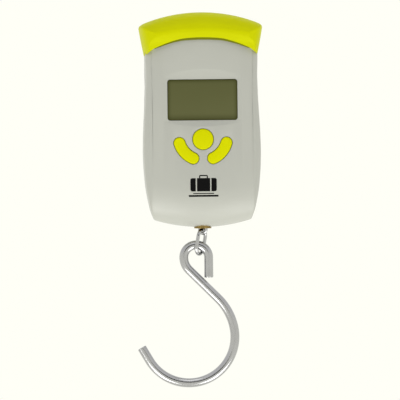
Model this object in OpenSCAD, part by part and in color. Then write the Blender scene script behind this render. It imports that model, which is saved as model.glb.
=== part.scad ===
// Hand-held digital luggage scale: a casing with a grip cap, display, three keys,
// an internal load cell, and an open hook that hangs on two chain links.
// Millimetres. +Z up, the display faces -Y, the origin is the centre of the hand grip.

/* [Casing] */
// Height of the lowest point of the casing below the grip centre
body_bottom = 100.5; // [98:0.5:104]
// Depth of the front crest in front of the parting plane
front_depth = 13.5; // [13:0.25:15]
// Depth of the flat back behind the parting plane
back_depth = 12; // [12:0.25:14]
// Wall thickness of the casing
wall = 2; // [1.6:0.1:2.4]
// Height of the rounded roll-off at the lower end of the face
roll_h = 19; // [14:0.5:22]

/* [Grip cap] */
// Half width of the grip at its widest
cap_half_w = 30.75; // [30:0.25:32]
// Height of the top of the grip above the grip centre
cap_top = 6.85; // [6:0.05:8]
// Depth of the front crest of the grip in front of the parting plane
cap_front = 16; // [15.5:0.25:17]

/* [Display and keys] */
// Width of the window
win_w = 35; // [32:0.5:36]
// Height of the window
win_h = 20.5; // [18:0.5:21]
// Radius of the round key
key_r = 5.15; // [4.8:0.05:5.5]
// Centreline radius of the curved keys
arc_r = 12.25; // [12:0.05:12.5]
// Half width of the curved keys
arc_hw = 2.85; // [2.6:0.05:3.2]
// Travel of the keys
key_travel = 0.4; // [0.2:0.1:0.5]

/* [Hook and links] */
// Diameter of the hook wire
hook_d = 4.5; // [3.8:0.1:4.6]
// Diameter of the upper link's wire
upper_d = 1.6; // [1.4:0.1:1.6]
// Diameter of the lower link's wire
lower_d = 1.8; // [1.6:0.1:1.8]
// Inner diameter of the eyelet
eyelet_id = 7; // [6.8:0.1:7.2]

/* [Hidden] */
$fn = 48;
eps = 0.02;

// ---- casing outline ----
// Half width of the casing at height z
hw_table = [[-100, 24.2], [-96.75, 24.4], [-92, 25.9], [-86, 27.25], [-80, 28.25], [-71, 29],
            [-63, 29.25], [-53, 29], [-44, 28.5], [-35, 28], [-24.5, 27.75], [-17, 28], [0, 28]];
function hw(z) = lookup(z, hw_table);
corner_x = 24.4;                        // half width at the lower corners
corner_z = -96.75;                      // height of the lower corners
bot_sag = body_bottom + corner_z;       // rise of the lower arc from middle to corner
bot_R = (corner_x * corner_x + bot_sag * bot_sag) / (2 * bot_sag);
function zb(x) = -body_bottom + bot_R - sqrt(bot_R * bot_R - x * x);
shell_top = -2;                         // top of the casing, inside the cap
crown = 240;                            // twice the radius of the crowned face
function fd(x) = front_depth - x * x / crown;

nb = 16;                                // steps along the lower edge
ns = 9;                                 // steps up each side
// One closed ring of the casing: side inset s, lower inset b, depth share w of the face
function ring(w, s, b, g, d, top, cut) = let (xc = hw(corner_z + b) - s + g, z0 = corner_z + b - g)
    concat(
        [for (i = [0:nb]) let (u = -1 + 2 * i / nb, x = u * xc) [x, yy(x, w, d, cut), zb(u * corner_x) + b - g]],
        [for (j = [1:ns]) let (z = z0 + (top - z0) * j / (ns + 1), x = hw(z) - s + g) [x, yy(x, w, d, cut), z]],
        [for (i = [0:nb]) let (u = 1 - 2 * i / nb, x = u * xc) [x, yy(x, w, d, cut), top]],
        [for (j = [ns:-1:1]) let (z = z0 + (top - z0) * j / (ns + 1), x = -hw(z) + s - g) [x, yy(x, w, d, cut), z]]);
function yy(x, w, d, cut) = cut == undef ? -w * (fd(x) + d) : cut;

nr = 2 * (nb + 1) + 2 * ns;             // points in a ring
// Triangles that close a ring whose lower and upper edges share their x values
function ring_cap(o, flip) = let (q = concat(
        [for (i = [0:nb - 1]) each [[o + i, o + i + 1, o + nr - ns - 2 - i], [o + i, o + nr - ns - 2 - i, o + nr - ns - 1 - i]]],
        [for (j = [0:ns]) [o + nb, o + nb + j + 1 > o + nb + ns + 1 ? o + nb : o + nb + j, o + nb + j + 1]],
        [for (j = [0:ns - 1]) [o, o + nr - ns - 1 + j, o + nr - ns + j > o + nr - 1 ? o : o + nr - ns + j]]))
    [for (t = q) if (t[0] != t[1] && t[1] != t[2] && t[0] != t[2]) flip ? [t[2], t[1], t[0]] : t];
// Solid lofted through a list of rings
module loft(rings) {
    n = len(rings);
    polyhedron(points = [for (r = rings) each r],
        faces = concat(
            ring_cap(0, false),
            [for (k = [0:n - 2]) for (i = [0:nr - 1]) let (a = k * nr + i, b = k * nr + (i + 1) % nr)
                each [[a, b + nr, b], [a, a + nr, b + nr]]],
            ring_cap((n - 1) * nr, true)), convexity = 6);
}
function roll(w, h) = h * (1 - sqrt(max(0, 1 - w * w)));
front_w = [0, 0.3, 0.55, 0.7, 0.8, 0.88, 0.94, 0.98, 1];
front_s = [0, 0, 0, 0.2, 0.75, 1.4, 2.1, 2.7, 3.2];
// Front half of the casing, grown by g
module front_solid(g = 0, back = 0) {
    loft(concat([ring(0, 0, 0, g, 0, shell_top + g, back)],
        [for (i = [back > 0 ? 0 : 1:8]) ring(front_w[i], front_s[i], roll(front_w[i], roll_h), g, g, shell_top + g)]));
}
// Space inside the front half
module front_space() {
    loft(concat([ring(0, wall, 5, 0, 0, shell_top - 1.5, 1)],
        [for (i = [0, 2, 3, 4, 5, 6, 7, 8]) ring(front_w[i], front_s[i] + wall, 5 + roll(front_w[i], roll_h - 5), 0, -wall, shell_top - 1.5)]));
}
back_y = [0, 5, 8.5, 10.4, 11.5, 12];
back_s = [0, 0, 0, 0.25, 0.9, 1.9];
back_b = [0, 0.45, 1.4, 2.5, 3.8, 5.2];
// Rear half of the casing, grown by g
module back_solid(g = 0, top = shell_top) {
    loft([for (i = [5:-1:0]) ring(0, back_s[i], back_b[i], g, 0, top + g, back_y[i] * back_depth / 12 - (i == 0 ? g : 0))]);
}
// Outline of the casing inset by s at the sides and b at the lower edge, in X and Z
module outline(s, b, top) {
    polygon(concat([for (i = [0:nb]) let (u = -1 + 2 * i / nb) [u * (hw(corner_z + b) - s), zb(u * corner_x) + b]],
        [for (z = [-90:10:-10]) [hw(z) - s, z]], [[hw(0) - s, top], [-hw(0) + s, top]],
        [for (z = [-10:-10:-90]) [-hw(z) + s, z]]));
}
// A plate or prism given in X and Z, from depth y0 to y1
module slab(y0, y1) { translate([0, y1, 0]) rotate([90, 0, 0]) linear_extrude(height = y1 - y0) children(); }
// A round bar along Y
module ybar(x, z, y0, y1, r, r2) { translate([x, y1, z]) rotate([90, 0, 0]) cylinder(h = y1 - y0, r1 = r2 == undef ? r : r2, r2 = r); }
module round_rect(w, h, r) {
    union() {
        square([w - 2 * r, h], center = true);
        square([w, h - 2 * r], center = true);
        for (sx = [-1, 1], sz = [-1, 1]) translate([sx * (w / 2 - r), sz * (h / 2 - r)]) circle(r);
    }
}

// ---- places ----
win_z = -37.1;
key_z = -56.75;                         // centre of the round key
fan_z = -55;                            // centre that the curved keys bend around
arc_a0 = 17;                            // upper end of a curved key, below horizontal
arc_a1 = 66;                            // lower end
boss_at = [[21.3, -17], [-21.3, -17], [20.7, -83], [-20.7, -83]];
post_at = [[17.6, -21.4], [-17.6, -21.4], [17.6, -71.5], [-17.6, -71.5]];
pcb_y0 = -5; pcb_y1 = -3.4;
bay_z0 = -45.2; bay_z1 = -20.2;
door_z0 = -45.8; door_z1 = -19.6;
cell_top = -52; cell_bot = -84;
pivot_1 = -91.4;                        // lower wire of the load eye
u_top = pivot_1 + 1.65;                 // upper link, upper wire
u_bot = -103.7;                         // upper link, lower wire
u_c = 2.2;                              // upper link, half width on the wire centre
u_rot = -45;                            // turn of the upper link's plane
l_top = [0, -101.82];                 // lower link, upper wire, X and Z
l_bot = [-2.1, -114];                  // lower link, lower wire
l_c = 3.8;
l_rot = 60;
eye_c = [-3.46, -115.62];               // centre of the hook's eye
eye_R = 6.2;

module arc_shape(a0, a1, r, hw2) {
    // band of half width hw2 along a circle of radius r, with round ends
    union() {
        intersection() {
            difference() { circle(r + hw2, $fn = $fn * 2); circle(r - hw2, $fn = $fn * 2); }
            polygon([[0, 0], 30 * [cos(a0), sin(a0)], 34 * [cos((a0 + a1) / 2), sin((a0 + a1) / 2)], 30 * [cos(a1), sin(a1)]]);
        }
        for (a = [a0, a1]) translate(r * [cos(a), sin(a)]) circle(hw2);
    }
}

// ---- casing ----
module front_shell($fn = 24) {
    color("#bcbdb4")
    resize([0, 0, 0]) union() {
        difference() {
            difference() { front_solid(); front_space(); }
            // recess around the window, window and key openings
            slab(-20, -12) translate([0, win_z]) round_rect(win_w + 4, win_h + 5, 3);
            slab(-20, -9) translate([0, win_z]) round_rect(win_w, win_h, 1.4);
            ybar(0, key_z, -20, -8, key_r + 0.25);
            for (m = [0, 1]) mirror([m, 0, 0]) slab(-20, -8) translate([0, fan_z]) arc_shape(-arc_a1, -arc_a0, arc_r, arc_hw + 0.25);
            // half of the eyelet opening
            translate([0, 0, -110]) cylinder(h = 20, r = eyelet_id / 2 + 0.45);
            translate([0, 0, -body_bottom - 2]) cylinder(h = 2.05, r = 4.5);
        }
        // frame behind the window
        difference() {
            slab(-11.9, -9.6) translate([0, win_z]) round_rect(win_w + 3.6, win_h + 3.6, 2);
            slab(-12, -10.7) translate([0, win_z]) round_rect(win_w, win_h, 1.4);
            slab(-13, -9) translate([0, win_z]) round_rect(win_w - 2.4, win_h - 2.4, 1);
        }
        // screw bosses and board posts
        for (p = boss_at) difference() {
            ybar(p[0], p[1], -10, 0, 2.8);
            ybar(p[0], p[1], -9, 1, 1);
        }
        for (p = post_at) difference() {
            ybar(p[0], p[1], -11, pcb_y0, 1.9);
            ybar(p[0], p[1], -9, pcb_y0 + 1, 0.8);
        }
    }
}
module rear_shell($fn = 24) {
    color("#b4b5ac")
    resize([0, 0, 0]) difference() {
        union() {
            difference() {
                back_solid();
                slab(-1, 8) outline(wall, 4.5, shell_top - 1.5);
                intersection() {
                    slab(-1, 10.2) outline(wall, 4.5, shell_top - 1.5);
                    translate([-40, -5, -110]) cube([80, 30, 93.2]);
                }
            }
            // battery bay
            slab(-2.2, -0.9) translate([0, (bay_z0 + bay_z1) / 2]) square([50.6, bay_z1 - bay_z0 + 2.6], center = true);
            for (z = [bay_z0 - 1.3, bay_z1]) translate([-25.3, -2.2, z]) cube([50.6, 12.6, 1.3]);
            // bosses for the case screws, pillars of the load cell
            for (p = boss_at) ybar(p[0], p[1], 0, 11, 2.8);
            for (x = [-7.5, 7.5]) ybar(x, cell_top - 3, 3, 11, 2.6);
            // posts for the cap screws
            for (x = [-14, 14]) ybar(x, -9, 2, 10.2, 2.6);
        }
        // step for the cap, door opening, openings
        translate([-40, back_depth - 2.1, -14.75]) cube([80, 10, 30]);
        translate([-25, 8, door_z0 - 0.15]) cube([50, 8, door_z1 - door_z0 + 0.3]);
        for (x = [-16, 16]) translate([x - 3.2, 8, door_z1 - 1]) cube([6.4, 2.4, 2.9]);
        translate([0, 0, -110]) cylinder(h = 20, r = eyelet_id / 2 + 0.45);
        translate([0, 0, -body_bottom - 2]) cylinder(h = 2.05, r = 4.5);
        for (p = boss_at) {
            ybar(p[0], p[1], -1, 20, 1.35);
            ybar(p[0], p[1], 9.3, 20, 2.05);
        }
        for (p = [boss_at[0], boss_at[1]]) ybar(p[0], p[1], -3, 0, 2.95);
        for (x = [-7.5, 7.5]) ybar(x, cell_top - 3, 2, 9, 1.2);
        for (x = [-14, 14]) ybar(x, -9, 4, 11, 1.05);
    }
}

// ---- grip cap ----
cap_y = [-16, -15.3, -14.4, -12.6, -10, -6, 0, 9.6, 11.2, 12];
cap_s = [6.5, 4.2, 2.9, 1.7, 0.9, 0.3, 0, 0, 0.45, 1.3];
cap_t = [8.2, 6, 4.4, 2.6, 1.4, 0.45, 0, 0, 0.45, 1.3];
cap_b = [11.5, 9.2, 7.1, 0, 0, 0, 0, 0, 0, 0];
// Half width of the cap at height z
function chw(z) = lookup(z, [[-14.7, 28.15], [-0.75, cap_half_w], [0.75, cap_half_w - 0.5]]) + 0.2 * sin(180 * (z + 14.7) / 15.7);
cap_cx = cap_half_w - 1.1;              // half width at the upper corners
cap_sag = cap_top - 1;
cap_R = (cap_cx * cap_cx + cap_sag * cap_sag) / (2 * cap_sag);
function ct(x) = cap_top - cap_R + sqrt(cap_R * cap_R - x * x);
// One ring of the cap: s side inset, t upper inset, b lower inset
function cap_ring(y, s, t, b) = let (zt = min(1, 1 - t * 0.55), f = (cap_cx - s) / cap_cx, bb = -14.7 + b * 0.75) concat(
    [for (i = [0:nb]) let (u = -1 + 2 * i / nb) [u * (chw(bb) - s), y, -14.7 + b * (1 - 0.25 * u * u)]],
    [for (j = [1:ns]) let (z = bb + (zt - bb) * j / (ns + 1)) [chw(z) - s, y, z]],
    [for (i = [0:nb]) let (u = 1 - 2 * i / nb) [u * f * cap_cx, y, zt + (ct(u * cap_cx) - 1) * (cap_top - t - zt) / (cap_top - 1)]],
    [for (j = [ns:-1:1]) let (z = bb + (zt - bb) * j / (ns + 1)) [-chw(z) + s, y, z]]);
module cap_solid() {
    loft([for (i = [9:-1:0]) cap_ring(cap_y[i] * (i == 0 ? cap_front / 16 : 1), cap_s[i], cap_t[i], cap_b[i])]);
}
module grip_cap($fn = 24) {
    color("#cacd04")
    resize([0, 0, 0]) difference() {
        difference() {
            cap_solid();
            // arched lower lip on the face
            slab(-20, -3) polygon([[-28.3, -14.8], [-24.8, -12], [-10.7, -7.65], [-5, -7.3], [0, -7.2], [5, -7.3],
                                   [10.7, -7.65], [24.8, -12], [28.3, -14.8], [28.3, -25], [-28.3, -25]]);
            // socket for the casing
            intersection() {
                union() { front_solid(0.1, 0.2); back_solid(0.1); translate([-27, -1, -30]) cube([54, 2, 26]); }
                translate([-40, -20, -30]) cube([80, 20 + back_depth - 2, 40]);
            }
            translate([-40, -1, -30]) cube([80, 30, 30 - 14.6]);
        }
        // hollow over the casing
        translate([-24.5, -10.5, shell_top - 1]) cube([49, 20, 4.6]);
        for (x = [-14, 14]) {
            ybar(x, -9, 9, 20, 1.35);
            ybar(x, -9, back_depth - 0.9, 20, 2.4);
        }
    }
}

// ---- display ----
module window_lens() { color([0.5, 0.5, 0.3, 0.6]) slab(-11.9, -10.75) translate([0, win_z]) round_rect(win_w - 0.1, win_h - 0.1, 1.35); }
module lcd_panel() { color("#61623f") slab(-9.4, -7.4) translate([0, win_z]) square([36, 22], center = true); }
module display_frame() {
    color("#e8e8e4")
    difference() {
        slab(-9.5, pcb_y0) translate([0, win_z]) square([39, 25], center = true);
        slab(-10, -7.4) translate([0, win_z]) square([36.2, 22.2], center = true);
        slab(-8, 0) translate([0, win_z]) square([32, 18], center = true);
    }
}
module main_pcb() {
    color("#2f6b3a")
    difference() {
        slab(pcb_y0, pcb_y1) translate([0, -46.6]) square([41, 55], center = true);
        for (p = post_at) ybar(p[0], p[1], -6, 0, 1.15);
        for (p = [boss_at[0], boss_at[1]]) ybar(p[0], p[1], -6, 0, 3.1);
    }
}
module pcb_chips() {
    color("#222222") {
        translate([-4, pcb_y1, -48.6]) cube([8, 0.9, 0.6 + 1]);
        translate([11.7, pcb_y1, -66]) cube([5, 0.7, 5]);
        translate([-16.7, pcb_y1, -66]) cube([5, 0.7, 4]);
        ybar(-15, -56, pcb_y1, pcb_y1 + 1.6, 1.7);
    }
}

// ---- keys ----
key_c = [[0, key_z], [-arc_r * cos(42), fan_z - arc_r * sin(42)], [arc_r * cos(42), fan_z - arc_r * sin(42)]];
module tact_switches() {
    color("#303030")
    for (p = key_c) difference() {
        slab(-8.2, pcb_y0) translate(p) square(5.2, center = true);
        ybar(p[0], p[1], -9, -6.2, 1.75);
    }
}
module plunger(p) { color("#d0b060") ybar(p[0], p[1], -8.7, -6.9, 1.65); }
module plunger_center() { plunger(key_c[0]); }
module plunger_left() { plunger(key_c[1]); }
module plunger_right() { plunger(key_c[2]); }
module key_center() {
    color("#d0d20a") {
        ybar(0, key_z, -14.1, -10.3, key_r, key_r);
        ybar(0, key_z, -10.3, -9.3, key_r + 0.9);
        ybar(0, key_z, -9.3, -8.7, 2);
    }
}
module arc_key() {
    color("#d0d20a") {
        slab(-13.75, -10) translate([0, fan_z]) arc_shape(-arc_a1, -arc_a0, arc_r, arc_hw);
        difference() {
            slab(-10.2, -9.3) translate([0, fan_z]) arc_shape(-arc_a1, -arc_a0, arc_r, arc_hw + 0.7);
            ybar(0, key_z, -11, -9, key_r + 1.2);
            slab(-11, -9) translate([-10, -80]) square([10.4, 30]);
        }
        ybar(key_c[2][0], key_c[2][1], -9.3, -8.7, 2);
    }
}
module key_right() { arc_key(); }
module key_left() { mirror([1, 0, 0]) arc_key(); }

// ---- load cell ----
module load_cell() {
    color("#c4c7c9")
    difference() {
        translate([-11, -3, cell_bot]) cube([22, 6, cell_top - cell_bot]);
        translate([-12, -4, cell_top - 7.6]) cube([19.5, 8, 1.4]);
        translate([-7.5, -4, cell_bot + 6.2]) cube([19.5, 8, 1.4]);
        for (x = [-3.4, 3.4]) ybar(x, (cell_top + cell_bot) / 2, -4, 4, 3.1);
        translate([-3.4, -4, (cell_top + cell_bot) / 2 - 0.8]) cube([6.8, 8, 1.6]);
        for (x = [-7.5, 7.5]) ybar(x, cell_top - 3, -4, 4, 1.3);
        translate([0, 0, cell_bot - 1]) cylinder(h = 6, r = 1.65);
    }
}
module strain_gauges() {
    color("#d89a3c")
    for (z = [cell_top - 7.6 - 1.4 + 0.0, cell_bot + 7.6 + 1.3]) translate([-2.5, -3.1, z - 0.9]) cube([5, 0.1, 1.4]);
}
module load_cell_screws() {
    color("#9a9a9a")
    for (x = [-7.5, 7.5]) {
        ybar(x, cell_top - 3, -3, 8.5, 1.15);
        difference() {
            ybar(x, cell_top - 3, -3.35, -3, 2.2);
            slab(-3.4, -3.15) translate([x, cell_top - 3]) square([2.6, 0.5], center = true);
            slab(-3.4, -3.15) translate([x, cell_top - 3]) square([0.5, 2.6], center = true);
        }
    }
}
module load_eye() {
    color("#b8bcbe") {
        translate([0, 0, cell_bot - 1.5]) cylinder(h = 6.2, r = 1.6);
        translate([0, 0, cell_bot - 1.2]) cylinder(h = 1.2, r = 2.6, $fn = 6);
        translate([0, 0, pivot_1 + 2.6]) rotate([0, 0, u_rot + 90]) rotate([90, 0, 0]) rotate_extrude($fn = 64) translate([2.6, 0]) circle(d = 1.6, $fn = 32);
    }
}

// ---- eyelet, links and hook ----
module hook_eyelet() {
    color("#c8a24a")
    translate([0, 0, -body_bottom]) rotate_extrude()
        polygon([[eyelet_id / 2, -0.7], [4.2, -0.7], [4.4, -0.5], [4.4, 0.02], [eyelet_id / 2 + 0.4, 0.02], [eyelet_id / 2 + 0.4, 4.2], [eyelet_id / 2, 4.2]]);
}
// Oval link in the XZ plane: wire d, half width c, from height 0 down to -l, between wire centres
module oval_link(d, c, l) {
    for (s = [-1, 1]) translate([s * c, 0, -l + c]) cylinder(h = l - 2 * c, d = d, $fn = 32);
    translate([0, 0, -c]) rotate([90, 0, 0]) rotate_extrude(angle = 180, $fn = 64) translate([c, 0]) circle(d = d, $fn = 32);
    translate([0, 0, -l + c]) rotate([90, 180, 0]) rotate_extrude(angle = 180, $fn = 64) translate([c, 0]) circle(d = d, $fn = 32);
}
module upper_link() {
    color("#b8bcbe") translate([0, 0, u_top]) rotate([0, 0, u_rot]) oval_link(upper_d, u_c, u_top - u_bot);
}
l_len = norm(l_top - l_bot);
l_lean = asin((l_top[0] - l_bot[0]) / l_len);
module lower_link() {
    color("#b8bcbe") translate([l_top[0], 0, l_top[1]]) rotate([0, l_lean, 0]) rotate([0, 0, l_rot]) oval_link(lower_d, l_c, l_len);
}
// Wire bend in the XZ plane: centre c, radius r, from angle a0 to a1
module bend(c, r, a0, a1) {
    translate([c[0], 0, c[1]]) rotate([90, 0, 0]) rotate([0, 0, a0]) rotate_extrude(angle = a1 - a0, $fn = 128) translate([r, 0]) circle(d = hook_d, $fn = 48);
}
// Straight wire from p to q in the XZ plane
module rod(p, q) {
    translate([p[0], 0, p[1]]) rotate([0, 90 - atan2(q[1] - p[1], q[0] - p[0]), 0]) cylinder(h = norm(q - p), d = hook_d);
}
neck_R = 9;
p0 = [eye_c[0] + eye_R, eye_c[1]];
neck_c = [eye_c[0] - eye_R + neck_R, eye_c[1]];
p1 = neck_c - neck_R * [cos(45), sin(45)];
shank_l = 20.2;
p2 = p1 + shank_l * [cos(-45), sin(-45)];
R1 = 28.4; a1 = 34;
c1 = p2 + R1 * [-sin(45), -cos(45)];
p3 = c1 + R1 * [cos(45 - a1), sin(45 - a1)];
R2 = 23; a2 = 160.5;
c2 = c1 + (R1 - R2) * [cos(45 - a1), sin(45 - a1)];
t_end = 45 - a1 - a2;
p4 = c2 + R2 * [cos(t_end), sin(t_end)];
tip_l = 7.6;
p5 = p4 + tip_l * [sin(t_end), -cos(t_end)];
module hook() {
    color("#c6c9cb") {
        rod([p0[0], -125.8], p0);
        bend(eye_c, eye_R, 0, 180);
        bend(neck_c, neck_R, 180, 225);
        rod(p1, p2);
        bend(c1, R1, 45 - a1, 45);
        bend(c2, R2, t_end, 45 - a1);
        rod(p4, p5);
        for (p = [p0, [eye_c[0] - eye_R, eye_c[1]], p1, p2, p3, p4]) translate([p[0], 0, p[1]]) sphere(d = hook_d + 0.06);
    }
}

// ---- batteries ----
bat_z = [-26.75, -38.35];
module battery(z) {
    color("#3b5f9a") translate([-22.2, 4.85, z]) rotate([0, 90, 0]) {
        cylinder(h = 43.6, r = 5.2);
        translate([0, 0, 43.6]) cylinder(h = 0.8, r = 1.9);
    }
}
module battery_upper() { battery(bat_z[0]); }
module battery_lower() { mirror([1, 0, 0]) battery(bat_z[1]); }
module battery_springs() {
    color("#c9c9c9")
    for (k = [0, 1]) mirror([k, 0, 0]) translate([-24.9, 4.85, bat_z[k]]) rotate([0, 90, 0]) {
        cylinder(h = 0.4, r = 4.4);
        for (j = [0:4]) translate([0, 0, 0.55 + j * 0.42]) rotate_extrude() translate([3.5 - j * 0.3, 0]) circle(d = 0.6, $fn = 16);
    }
}
module battery_plates() {
    color("#c9c9c9")
    for (k = [0, 1]) mirror([k, 0, 0]) translate([22.25, 4.85 - 4.4, bat_z[k] - 4.4]) cube([0.5, 8.8, 8.8]);
}
module battery_door() {
    color("#b4b5ac")
    difference() {
        union() {
            translate([-24.85, back_depth - 1.8, door_z0]) cube([49.7, 1.8, door_z1 - door_z0]);
            for (x = [-16, 16]) translate([x - 3, back_depth - 3.4, door_z1 - 2.5]) cube([6, 1.7, 4]);
        }
        // thumb groove
        translate([0, back_depth + 6.6, door_z0 + 5]) rotate([0, 90, 0]) translate([0, 0, -7]) cylinder(h = 14, r = 7.4);
    }
}

// ---- fasteners and leads ----
module screw(x, z, y_head, y_tip, r_head, r_shank, h_head) {
    difference() {
        union() {
            ybar(x, z, y_head - h_head, y_head, r_head);
            ybar(x, z, y_tip, y_head - h_head, r_shank);
        }
        slab(y_head - h_head * 0.6, y_head + 1) translate([x, z]) square([r_head * 1.3, 0.5], center = true);
        slab(y_head - h_head * 0.6, y_head + 1) translate([x, z]) square([0.5, r_head * 1.3], center = true);
    }
}
module case_screws() { color("#8a8d90") for (p = boss_at) screw(p[0], p[1], 10.9, -8.8, 1.9, 0.95, 1.6); }
module pcb_screws() { color("#8a8d90") for (p = post_at) screw(p[0], p[1], pcb_y1 + 0.9, -8.8, 1.6, 0.75, 0.9); }
module cap_screws() { color("#8a8d90") for (x = [-14, 14]) screw(x, -9, back_depth - 0.05, 4.3, 2.2, 1, 0.8); }
// Lead through a list of points
module lead(pts, r) {
    for (i = [0:len(pts) - 2]) let (v = pts[i + 1] - pts[i], l = norm(v))
        translate(pts[i]) rotate([0, acos(v[2] / l), atan2(v[1], v[0])]) cylinder(h = l, r = r, $fn = 16);
    for (i = [1:len(pts) - 2]) translate(pts[i]) sphere(r * 1.1, $fn = 16);
}
module gauge_leads() {
    color("#c04030") lead([[-11, -1.5, -82.4], [-12, -1.5, -82.4], [-14, -1.5, -80], [-15, -1.8, -74.5], [-15, -2.4, -71.5], [-15, pcb_y1, -71.5]], 0.4);
    color("#f0f0f0") lead([[11, -1.5, -82.4], [12, -1.5, -82.4], [14, -1.5, -80], [14.2, -1.8, -74.5], [14.2, -2.4, -71.5], [14.2, pcb_y1, -71.5]], 0.4);
}
module battery_leads() {
    color("#c02020") lead([[19, pcb_y1, -48.5], [19, -2, -48.5], [19, 1.5, -48.5], [19, 1.5, bay_z0 - 1.3]], 0.45);
    color("#202020") lead([[-19, pcb_y1, -48.5], [-19, -2, -48.5], [-19, 1.5, -48.5], [-19, 1.5, bay_z0 - 1.3]], 0.45);
}

front_shell();
rear_shell();
grip_cap();
window_lens();
lcd_panel();
display_frame();
main_pcb();
pcb_chips();
tact_switches();
plunger_center();
plunger_left();
plunger_right();
key_center();
key_left();
key_right();
load_cell();
strain_gauges();
load_cell_screws();
load_eye();
battery_upper();
battery_lower();
battery_springs();
battery_plates();
battery_door();
hook_eyelet();
upper_link();
lower_link();
hook();
case_screws();
pcb_screws();
cap_screws();
gauge_leads();
battery_leads();
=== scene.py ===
import bpy, bmesh, math
import numpy as np
from mathutils import Vector, Matrix


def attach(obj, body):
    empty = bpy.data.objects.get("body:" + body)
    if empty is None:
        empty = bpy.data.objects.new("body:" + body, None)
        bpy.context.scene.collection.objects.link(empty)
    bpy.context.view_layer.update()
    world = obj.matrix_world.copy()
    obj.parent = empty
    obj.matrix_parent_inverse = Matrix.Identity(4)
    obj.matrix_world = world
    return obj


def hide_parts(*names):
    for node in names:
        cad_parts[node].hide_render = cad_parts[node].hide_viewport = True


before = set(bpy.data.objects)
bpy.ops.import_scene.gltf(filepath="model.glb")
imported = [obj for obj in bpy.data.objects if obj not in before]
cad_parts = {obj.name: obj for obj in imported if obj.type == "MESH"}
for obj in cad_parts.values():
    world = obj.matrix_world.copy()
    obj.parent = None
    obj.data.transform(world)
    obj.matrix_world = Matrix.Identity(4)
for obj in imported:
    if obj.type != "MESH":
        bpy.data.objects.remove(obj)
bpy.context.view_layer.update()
MM = 0.001
T = math.tau

# ---------------------------------------------------------------- mesh helpers
def new_object(name, verts, faces, sharp=30.0):
    me = bpy.data.meshes.new(name)
    me.from_pydata([tuple(float(c) * MM for c in v) for v in verts], [], [tuple(int(i) for i in f) for f in faces])
    me.validate()
    bm = bmesh.new()
    bm.from_mesh(me)
    bmesh.ops.remove_doubles(bm, verts=bm.verts, dist=1e-7)
    bmesh.ops.recalc_face_normals(bm, faces=bm.faces)
    bm.to_mesh(me)
    bm.free()
    ob = bpy.data.objects.new(name, me)
    bpy.context.scene.collection.objects.link(ob)
    smooth(ob, sharp)
    return ob

def smooth(ob, deg):
    me = ob.data
    me.polygons.foreach_set("use_smooth", [True] * len(me.polygons))
    me.set_sharp_from_angle(angle=math.radians(deg))
    me.update()

def strip(a, b):
    n = len(a)
    return [(a[i], a[(i + 1) % n], b[(i + 1) % n], b[i]) for i in range(n)]

class Builder:
    def __init__(self):
        self.v, self.f = [], []
    def ring(self, pts):
        k = len(self.v)
        self.v += [tuple(p) for p in pts]
        return list(range(k, k + len(pts)))
    def band(self, a, b):
        self.f += strip(a, b)
    def loft(self, rings, close=True):
        ids = [self.ring(r) for r in rings]
        for a, b in zip(ids, ids[1:]):
            self.band(a, b)
        if close:
            self.f.append(tuple(reversed(ids[0])))
            self.f.append(tuple(ids[-1]))
        return ids
    def obj(self, name, sharp=30.0):
        return new_object(name, self.v, self.f, sharp)

def cut(ob, tool, op="DIFFERENCE"):
    m = ob.modifiers.new("b", "BOOLEAN")
    m.operation = op
    m.object = tool
    m.solver = "MANIFOLD"
    bpy.context.view_layer.update()
    dg = bpy.context.evaluated_depsgraph_get()
    me = bpy.data.meshes.new_from_object(ob.evaluated_get(dg))
    n0 = len(me.polygons)
    if n0 < 8:
        m.solver = "EXACT"
        bpy.context.view_layer.update()
        dg = bpy.context.evaluated_depsgraph_get()
        me = bpy.data.meshes.new_from_object(ob.evaluated_get(dg))
    ob.modifiers.remove(m)
    old = ob.data
    ob.data = me
    bpy.data.meshes.remove(old)
    bpy.data.objects.remove(tool)
    return ob

def clean(ob, sharp):
    bm = bmesh.new()
    bm.from_mesh(ob.data)
    bmesh.ops.remove_doubles(bm, verts=bm.verts, dist=2e-6)
    bmesh.ops.dissolve_degenerate(bm, edges=bm.edges, dist=1e-6)
    bmesh.ops.triangulate(bm, faces=[f for f in bm.faces if len(f.verts) > 4])
    bm.to_mesh(ob.data)
    bm.free()
    smooth(ob, sharp)

# outlines in X and Z, as lists of (x, z), counter-clockwise seen from the front
def circle2(cx, cz, r, n=72):
    return [(cx + r * math.cos(T * i / n), cz + r * math.sin(T * i / n)) for i in range(n)]

def rrect2(cx, cz, w, h, r, n=8):
    out = []
    for k, (sx, sz) in enumerate(((1, 1), (-1, 1), (-1, -1), (1, -1))):
        for i in range(n + 1):
            a = math.radians(90 * k + 90 * i / n)
            out.append((cx + sx * (w / 2 - r) + r * math.cos(a), cz + sz * (h / 2 - r) + r * math.sin(a)))
    return out

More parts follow.
